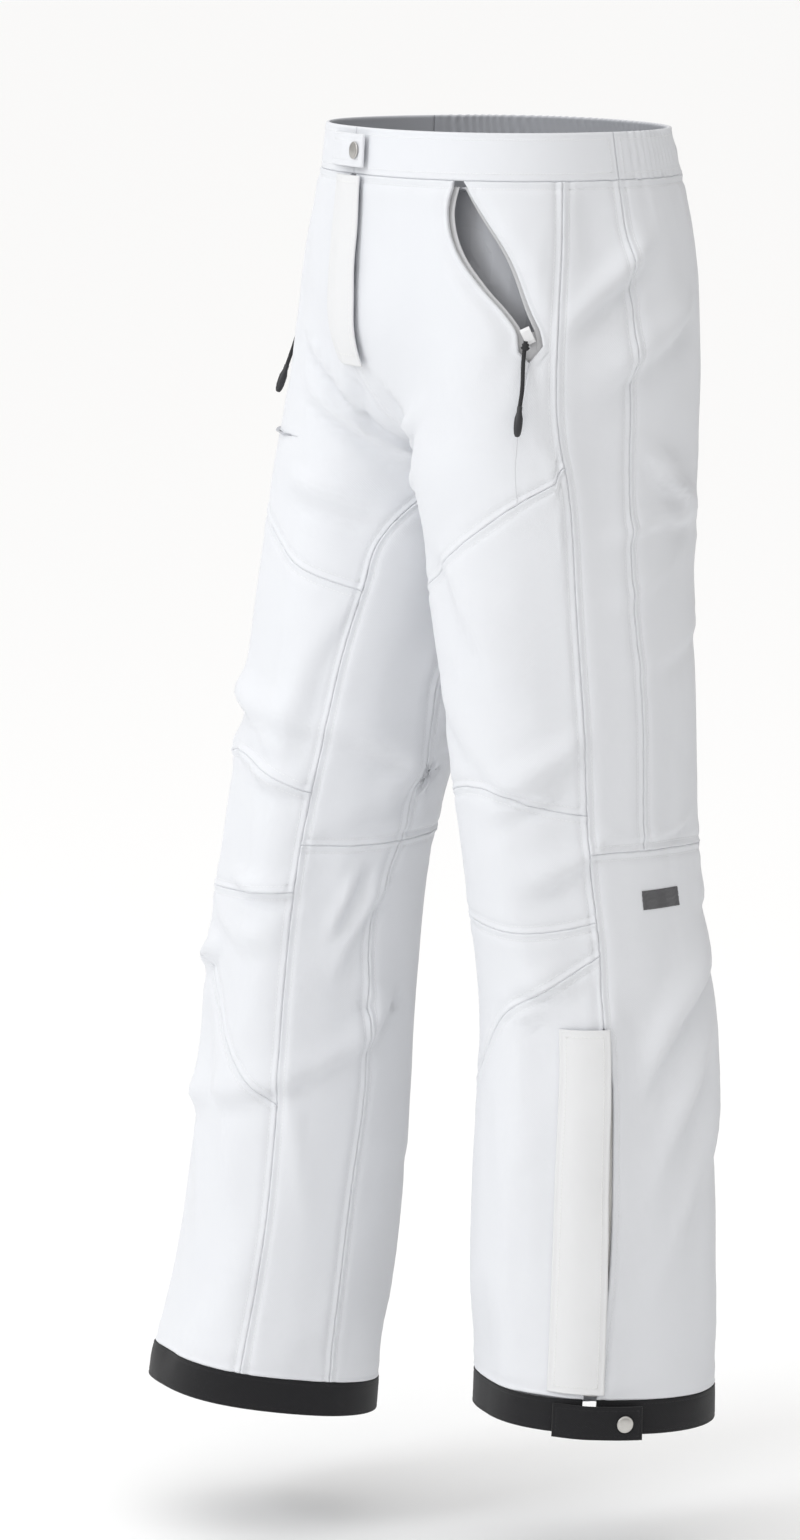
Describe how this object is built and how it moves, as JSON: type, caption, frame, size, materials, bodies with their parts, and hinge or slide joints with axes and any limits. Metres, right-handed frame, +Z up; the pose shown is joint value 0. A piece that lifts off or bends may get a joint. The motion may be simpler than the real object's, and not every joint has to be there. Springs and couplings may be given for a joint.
{
  "type": "ski pants",
  "caption": "White insulated ski pants with articulated knees, slanted zip pockets, zipped hems under storm flaps, snap hem tabs and inner snow gaiters, shaped in a standing stride.",
  "frame": {"origin": "centre of the waist opening, level with the top edge of the waistband", "axes": "+Z up along the wearer, -Y towards the wearer's front, +X towards the wearer's left"},
  "size_m": [0.3866, 0.3653, 0.9796],
  "materials": {
    "shell_cloth": "matte white woven nylon",
    "lining_cloth": "smooth pale grey lining",
    "hem_cloth": "matte black heavy woven cloth",
    "zip_tape": "white zip tape with moulded teeth",
    "zip_metal": "white enamelled metal",
    "snap_metal": "brushed nickel",
    "pull_cord": "black braided cord",
    "pull_tip": "moulded charcoal rubber"
  },
  "bodies": {
    "garment": {"left_waistband_front": "shell_cloth", "right_waistband_front": "shell_cloth", "waistband_back": "shell_cloth", "waist_snap_stud": "snap_metal", "fly_zip_tape": "zip_tape", "left_front_thigh_upper": "shell_cloth", "left_front_thigh_lower": "shell_cloth", "left_side_panel": "shell_cloth", "left_back_thigh": "shell_cloth", "left_inner_thigh": "shell_cloth", "left_knee_front": "shell_cloth", "left_knee_back": "shell_cloth", "left_pocket_zip_tape": "zip_tape", "left_pocket_bag": "lining_cloth", "right_front_thigh_upper": "shell_cloth", "right_front_thigh_lower": "shell_cloth", "right_side_panel": "shell_cloth", "right_back_thigh": "shell_cloth", "right_inner_thigh": "shell_cloth", "right_knee_front": "shell_cloth", "right_knee_back": "shell_cloth", "right_pocket_zip_tape": "zip_tape", "right_pocket_bag": "lining_cloth"},
    "left_shin": {"left_knee_lower": "shell_cloth", "left_front_shin": "shell_cloth", "left_calf": "shell_cloth", "left_inner_shin": "shell_cloth", "left_hem_band": "hem_cloth", "left_snow_gaiter": "lining_cloth", "left_leg_zip_tape": "zip_tape", "left_hem_snap_stud": "snap_metal"},
    "left_storm_flap": {"left_storm_flap": "shell_cloth"},
    "left_hem_tab": {"left_hem_tab": "hem_cloth", "left_hem_snap_cap": "snap_metal"},
    "left_leg_slider": {"left_leg_zip_slider": "zip_metal"},
    "left_leg_pull": {"left_leg_zip_pull": "zip_metal"},
    "left_pocket_slider": {"left_pocket_slider": "zip_metal"},
    "left_pocket_pull": {"left_pocket_pull_cord": "pull_cord", "left_pocket_pull_tip": "pull_tip"},
    "right_shin": {"right_knee_lower": "shell_cloth", "right_front_shin": "shell_cloth", "right_calf": "shell_cloth", "right_inner_shin": "shell_cloth", "right_hem_band": "hem_cloth", "right_snow_gaiter": "lining_cloth", "right_leg_zip_tape": "zip_tape", "right_hem_snap_stud": "snap_metal"},
    "right_storm_flap": {"right_storm_flap": "shell_cloth"},
    "right_hem_tab": {"right_hem_tab": "hem_cloth", "right_hem_snap_cap": "snap_metal"},
    "right_leg_slider": {"right_leg_zip_slider": "zip_metal"},
    "right_leg_pull": {"right_leg_zip_pull": "zip_metal"},
    "right_pocket_slider": {"right_pocket_slider": "zip_metal"},
    "right_pocket_pull": {"right_pocket_pull_cord": "pull_cord", "right_pocket_pull_tip": "pull_tip"},
    "fly_slider": {"fly_zip_slider": "zip_metal"},
    "fly_pull": {"fly_zip_pull": "zip_metal"},
    "fly_flap": {"fly_flap": "shell_cloth"},
    "waist_tab": {"waist_tab": "shell_cloth", "waist_snap_cap": "snap_metal"}
  },
  "joints": [
    {"name": "left_knee", "type": "hinge", "parent": "garment", "child": "left_shin", "pos_m": [0.10227, 0.02671, -0.57], "axis": [1, 0, 0], "range_deg": [-5, 50], "deforming": ["left_knee_front", "left_knee_back"]},
    {"name": "left_storm_flap_fold", "type": "hinge", "parent": "left_shin", "child": "left_storm_flap", "pos_m": [0.15886, -0.0294, -0.77845], "axis": [0.0214, -0.0446, -0.9988], "range_deg": [0, 110]},
    {"name": "left_hem_tab_fold", "type": "hinge", "parent": "left_shin", "child": "left_hem_tab", "pos_m": [0.16596, -0.03325, -0.93265], "axis": [0.0068, -0.0496, -0.9987], "range_deg": [0, 140]},
    {"name": "left_leg_zip_run", "type": "hinge", "parent": "left_shin", "child": "left_leg_slider", "pos_m": [-0.6918, -1.48141, -0.72663], "axis": [0.8637, -0.502, 0.0451], "range_deg": [0, 7.98]},
    {"name": "left_leg_pull_swing", "type": "hinge", "parent": "left_leg_slider", "child": "left_leg_pull", "pos_m": [0.17793, -0.00617, -0.89295], "axis": [0.9448, -0.3266, 0.0274], "range_deg": [-20, 20]},
    {"name": "left_pocket_zip_run", "type": "hinge", "parent": "garment", "child": "left_pocket_slider", "pos_m": [-0.04947, 0.32877, -0.06086], "axis": [-0.7866, -0.333, -0.5199], "range_deg": [0, 12.87]},
    {"name": "left_pocket_pull_swing", "type": "hinge", "parent": "left_pocket_slider", "child": "left_pocket_pull", "pos_m": [0.17184, -0.06021, -0.14444], "axis": [0.8476, -0.5105, 0.1446], "range_deg": [-30, 30]},
    {"name": "right_knee", "type": "hinge", "parent": "garment", "child": "right_shin", "pos_m": [-0.1025, -0.10213, -0.57], "axis": [1, 0, 0], "range_deg": [-5, 50], "deforming": ["right_knee_front", "right_knee_back"]},
    {"name": "right_storm_flap_fold", "type": "hinge", "parent": "right_shin", "child": "right_storm_flap", "pos_m": [-0.16143, -0.18433, -0.78443], "axis": [0.0313, 0.1262, 0.9915], "range_deg": [0, 110]},
    {"name": "right_hem_tab_fold", "type": "hinge", "parent": "right_shin", "child": "right_hem_tab", "pos_m": [-0.16999, -0.20324, -0.94503], "axis": [0.0046, 0.1746, 0.9846], "range_deg": [0, 140]},
    {"name": "right_leg_zip_run", "type": "hinge", "parent": "right_shin", "child": "right_leg_slider", "pos_m": [0.07337, -1.03715, -0.68056], "axis": [0.9625, 0.2633, -0.0659], "range_deg": [0, 15.82]},
    {"name": "right_leg_pull_swing", "type": "hinge", "parent": "right_leg_slider", "child": "right_leg_pull", "pos_m": [-0.18192, -0.17233, -0.90744], "axis": [-0.9317, -0.3532, 0.0852], "range_deg": [-20, 20]},
    {"name": "right_pocket_zip_run", "type": "hinge", "parent": "garment", "child": "right_pocket_slider", "pos_m": [0.51359, -0.64569, -0.53543], "axis": [0.5807, 0.798, -0.1612], "range_deg": [0, 5.74]},
    {"name": "right_pocket_pull_swing", "type": "hinge", "parent": "right_pocket_slider", "child": "right_pocket_pull", "pos_m": [-0.17168, -0.0758, -0.14397], "axis": [-0.8065, -0.5324, 0.257], "range_deg": [-30, 30]},
    {"name": "fly_zip_run", "type": "hinge", "parent": "garment", "child": "fly_slider", "pos_m": [0.0004, 0.82482, -0.15385], "axis": [1, 0, 0], "range_deg": [0, 5.1]},
    {"name": "fly_pull_swing", "type": "hinge", "parent": "fly_slider", "child": "fly_pull", "pos_m": [0.0004, -0.11667, -0.0459], "axis": [0, -0.9967, 0.0812], "range_deg": [-20, 20]},
    {"name": "fly_flap_fold", "type": "hinge", "parent": "garment", "child": "fly_flap", "pos_m": [-0.03046, -0.12127, -0.09733], "axis": [-0.007, 0.0155, -0.9999], "range_deg": [0, 95]},
    {"name": "waist_tab_fold", "type": "hinge", "parent": "garment", "child": "waist_tab", "pos_m": [-0.03635, -0.114, -0.0168], "axis": [-0.0463, -0.0732, -0.9962], "range_deg": [0, 140]}
  ]
}
